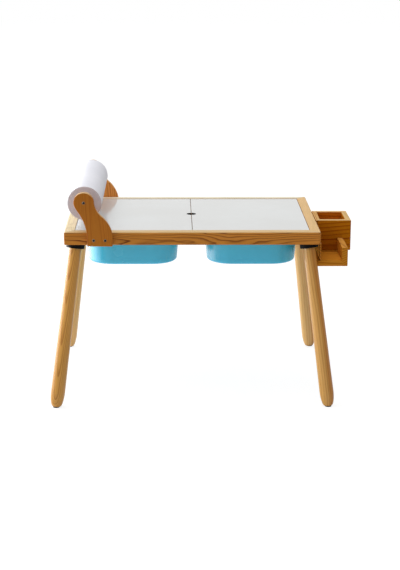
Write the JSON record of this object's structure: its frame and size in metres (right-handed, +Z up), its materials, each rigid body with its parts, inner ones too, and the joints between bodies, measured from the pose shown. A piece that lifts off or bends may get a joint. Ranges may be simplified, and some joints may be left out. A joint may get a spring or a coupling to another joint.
{
  "type": "sensory table",
  "caption": "Children's wooden sensory table with lift-out bins under lids, a paper roll holder at one end and a pencil box with a tray at the other.",
  "frame": {"origin": "on the floor, under the middle of the whole object's footprint box", "axes": "+X along the table's length from the paper roll to the pencil box, +Y from the front to the back, +Z up"},
  "size_m": [0.9624, 0.6866, 0.6923],
  "materials": {
    "golden_pine": "clear satin varnish",
    "pale_pine": "planed, unvarnished",
    "dark_pine": "clear satin varnish",
    "white_laminate": "gloss white board",
    "blue_plastic": "moulded, satin",
    "black_plastic": "moulded, matt",
    "steel": "zinc plated",
    "paper": "matt white paper",
    "cardboard": "bare cardboard",
    "rubber": "matt"
  },
  "bodies": {
    "table": {"front_rail": "golden_pine", "back_rail": "golden_pine", "left_rail": "golden_pine", "right_rail": "golden_pine", "front_ledge": "pale_pine", "back_ledge": "pale_pine", "left_ledge": "pale_pine", "right_ledge": "pale_pine", "centre_ledge": "pale_pine", "lid_support_bar": "pale_pine", "corner_block_front_left": "pale_pine", "corner_block_front_right": "pale_pine", "corner_block_back_left": "pale_pine", "corner_block_back_right": "pale_pine", "front_roll_bracket": "golden_pine", "back_roll_bracket": "golden_pine", "bracket_screw_front_left": "steel", "bracket_screw_front_right": "steel", "bracket_screw_back_left": "steel", "bracket_screw_back_right": "steel", "dowel_screw_front": "steel", "dowel_screw_back": "steel", "roll_dowel": "pale_pine", "holder_side_board": "golden_pine", "holder_screw_front": "steel", "holder_screw_back": "steel", "pencil_box_front": "dark_pine", "pencil_box_back": "dark_pine", "pencil_box_end": "dark_pine", "pencil_box_inner_end": "dark_pine", "pencil_box_bottom": "pale_pine", "tray_floor": "golden_pine", "tray_wall": "golden_pine", "leg_front_left": "golden_pine", "leg_front_right": "golden_pine", "leg_back_left": "golden_pine", "leg_back_right": "golden_pine", "leg_plate_front_left": "black_plastic", "leg_plate_front_right": "black_plastic", "leg_plate_back_left": "black_plastic", "leg_plate_back_right": "black_plastic", "leg_bolt_front_left": "steel", "leg_bolt_front_right": "steel", "leg_bolt_back_left": "steel", "leg_bolt_back_right": "steel", "foot_pad_front_left": "rubber", "foot_pad_front_right": "rubber", "foot_pad_back_left": "rubber", "foot_pad_back_right": "rubber"},
    "left_bin": {"left_bin": "blue_plastic"},
    "right_bin": {"right_bin": "blue_plastic"},
    "left_lid": {"left_lid": "white_laminate"},
    "right_lid": {"right_lid": "white_laminate"},
    "roll": {"paper_roll": "paper", "roll_core": "cardboard"}
  },
  "joints": [
    {"name": "left_bin_lift", "type": "slide", "parent": "table", "child": "left_bin", "axis": [0, 0, 1], "range_m": [0, 0.012]},
    {"name": "left_lid_tilt", "type": "hinge", "parent": "left_bin", "child": "left_lid", "pos_m": [-0.40013, 0, 0.554], "axis": [0, -1, 0], "range_deg": [0, 18]},
    {"name": "right_bin_lift", "type": "slide", "parent": "table", "child": "right_bin", "axis": [0, 0, 1], "range_m": [0, 0.1]},
    {"name": "right_lid_tilt", "type": "hinge", "parent": "right_bin", "child": "right_lid", "pos_m": [0.33427, 0, 0.554], "axis": [0, 1, 0], "range_deg": [0, 75]},
    {"name": "roll_spin", "type": "hinge", "parent": "table", "child": "roll", "pos_m": [-0.36893, 0, 0.6393], "axis": [0, 1, 0], "continuous": true}
  ]
}
